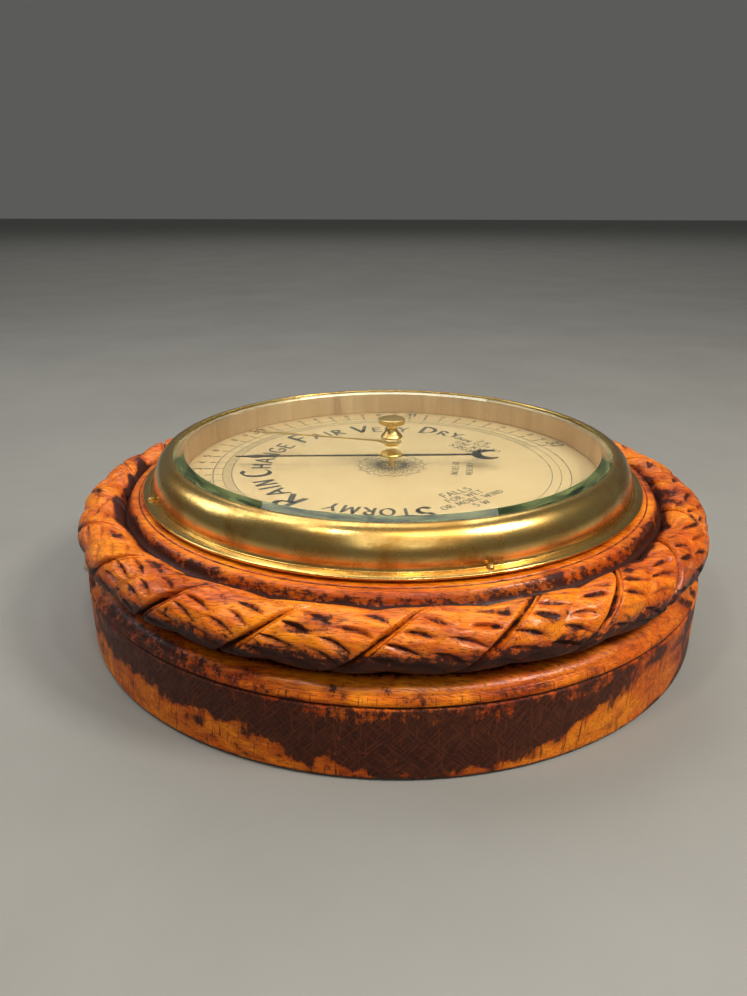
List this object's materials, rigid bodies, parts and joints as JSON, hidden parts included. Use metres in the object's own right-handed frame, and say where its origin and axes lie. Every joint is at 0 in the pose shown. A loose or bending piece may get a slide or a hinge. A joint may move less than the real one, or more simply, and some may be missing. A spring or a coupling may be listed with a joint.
{
  "type": "aneroid barometer",
  "caption": "Wall aneroid barometer in a turned oak case with a carved rope ring, brass bezel, bevelled glass, weather dial, indicator hand and a set hand turned by a centre knob.",
  "frame": {"origin": "centre of the case's flat back face", "axes": "+Z out of the dial, along the hand's axis; +Y towards the hanger, the top of the dial; +X to the dial's right"},
  "size_m": [0.3, 0.323, 0.0912],
  "materials": {
    "oak": "varnished, stained in the grooves",
    "case_brass": "spun, aged lacquer",
    "glass": "polished plate with a bevelled edge",
    "dial_enamel": "ivory, printed",
    "tinplate": "dull tinned sheet",
    "movement_brass": "satin",
    "steel": "satin",
    "blued_steel": "heat blued"
  },
  "bodies": {
    "barometer": {"oak_case": "oak", "rope_ring": "oak", "hanger_plate": "case_brass", "hanger_screw_1": "case_brass", "hanger_screw_2": "case_brass", "hanger_screw_3": "case_brass", "bezel": "case_brass", "bezel_screw_1": "case_brass", "bezel_screw_2": "case_brass", "bezel_screw_3": "case_brass", "bezel_screw_4": "case_brass", "sight_ring": "case_brass", "glass": "glass", "dial": "dial_enamel", "movement_drum": "tinplate", "base_plate": "movement_brass", "dial_pillar_1": "movement_brass", "dial_pillar_2": "movement_brass", "dial_pillar_3": "movement_brass", "arbor_cock": "movement_brass", "capsule_lower": "movement_brass", "capsule_upper": "movement_brass", "capsule_base_post": "movement_brass", "rocker_bearing_1": "movement_brass", "rocker_bearing_2": "movement_brass", "hairspring_stud": "movement_brass", "plate_screw_1": "steel", "plate_screw_2": "steel", "plate_screw_3": "steel", "spring_bridge": "steel", "bridge_screw_1": "steel", "bridge_screw_2": "steel", "cock_screw_1": "steel", "cock_screw_2": "steel", "clamp_screw_1": "steel", "clamp_screw_2": "steel", "hairspring": "blued_steel"},
    "lever": {"capsule_top_post": "steel", "post_nut": "movement_brass", "mainspring": "blued_steel", "main_lever": "steel", "link_pin": "steel"},
    "link": {"link_rod": "movement_brass"},
    "rocker": {"rocking_bar": "steel"},
    "chain_run": {"chain": "steel"},
    "indicator": {"hand_arbor": "steel", "indicator_hand": "blued_steel", "hand_boss": "movement_brass"},
    "setter": {"set_hand": "movement_brass", "set_collet": "movement_brass", "set_knob": "case_brass"},
    "adjuster": {"adjusting_screw": "steel"}
  },
  "joints": [
    {"name": "indicator_turn", "type": "hinge", "parent": "barometer", "child": "indicator", "pos_m": [0, 0, 0.0685], "axis": [0, 0, 1], "range_deg": [-130, 110], "deforming": ["hairspring"]},
    {"name": "lever_swing", "type": "hinge", "parent": "barometer", "child": "lever", "pos_m": [0, -0.03, 0.03725], "axis": [1, 0, 0], "range_deg": [-1.6, 1.6], "stiffness_Nm_per_rad": 4, "springref_deg": 0.06, "deforming": ["capsule_upper"]},
    {"name": "link_swing", "type": "hinge", "parent": "lever", "child": "link", "pos_m": [0.0039, 0.052, 0.0391], "axis": [1, 0, 0], "range_deg": [-3, 3]},
    {"name": "rocker_turn", "type": "hinge", "parent": "barometer", "child": "rocker", "pos_m": [0, 0.044, 0.027], "axis": [1, 0, 0], "range_deg": [-14, 14]},
    {"name": "chain_run_slide", "type": "slide", "parent": "barometer", "child": "chain_run", "axis": [0, 1, 0], "range_m": [-0.005, 0.005]},
    {"name": "set_hand_turn", "type": "hinge", "parent": "barometer", "child": "setter", "pos_m": [0, 0, 0.0755], "axis": [0, 0, 1], "continuous": true},
    {"name": "adjuster_turn", "type": "hinge", "parent": "barometer", "child": "adjuster", "pos_m": [0, -0.0355, 0.02], "axis": [0, 0, 1], "continuous": true}
  ],
  "couplings": [
    {"joint": "lever_swing", "follows": "indicator_turn", "ratio": 0.00985},
    {"joint": "link_swing", "follows": "indicator_turn", "ratio": -0.00985},
    {"joint": "rocker_turn", "follows": "indicator_turn", "ratio": 0.101},
    {"joint": "chain_run_slide", "follows": "indicator_turn", "m_per_rad": -0.002}
  ]
}
